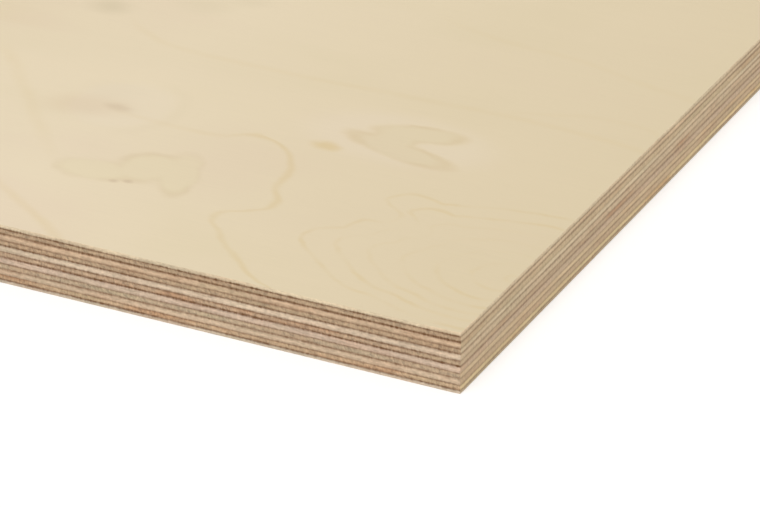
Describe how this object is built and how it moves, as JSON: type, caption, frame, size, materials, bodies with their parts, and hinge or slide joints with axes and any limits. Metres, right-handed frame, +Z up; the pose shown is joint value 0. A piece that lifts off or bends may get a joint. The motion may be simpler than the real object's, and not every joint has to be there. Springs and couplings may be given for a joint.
{
  "type": "plywood sheet",
  "caption": "Full rectangular sheet of birch plywood, cross-laminated from rotary-cut veneers that show as light and dark layers on its sawn edges; stock for floors, furniture and formwork.",
  "frame": {"origin": "middle of the underside, on the surface that the sheet lies on", "axes": "+X along the length and the face grain, +Y across the width, +Z up through the thickness to the face veneer"},
  "size_m": [2.44, 1.22, 0.015],
  "materials": {
    "face_birch": "sanded rotary-cut birch, pale cream, unfinished",
    "cross_birch": "sawn birch veneer, grain across the sheet",
    "long_birch": "sawn birch veneer, grain along the sheet",
    "back_birch": "sanded rotary-cut birch, slightly greyer than the face"
  },
  "bodies": {
    "root": {"face_veneer": "face_birch", "cross_veneer_2": "cross_birch", "long_veneer_3": "long_birch", "cross_veneer_4": "cross_birch", "long_veneer_5": "long_birch", "cross_veneer_6": "cross_birch", "long_veneer_7": "long_birch", "cross_veneer_8": "cross_birch", "long_veneer_9": "long_birch", "cross_veneer_10": "cross_birch", "back_veneer": "back_birch"}
  },
  "joints": []
}
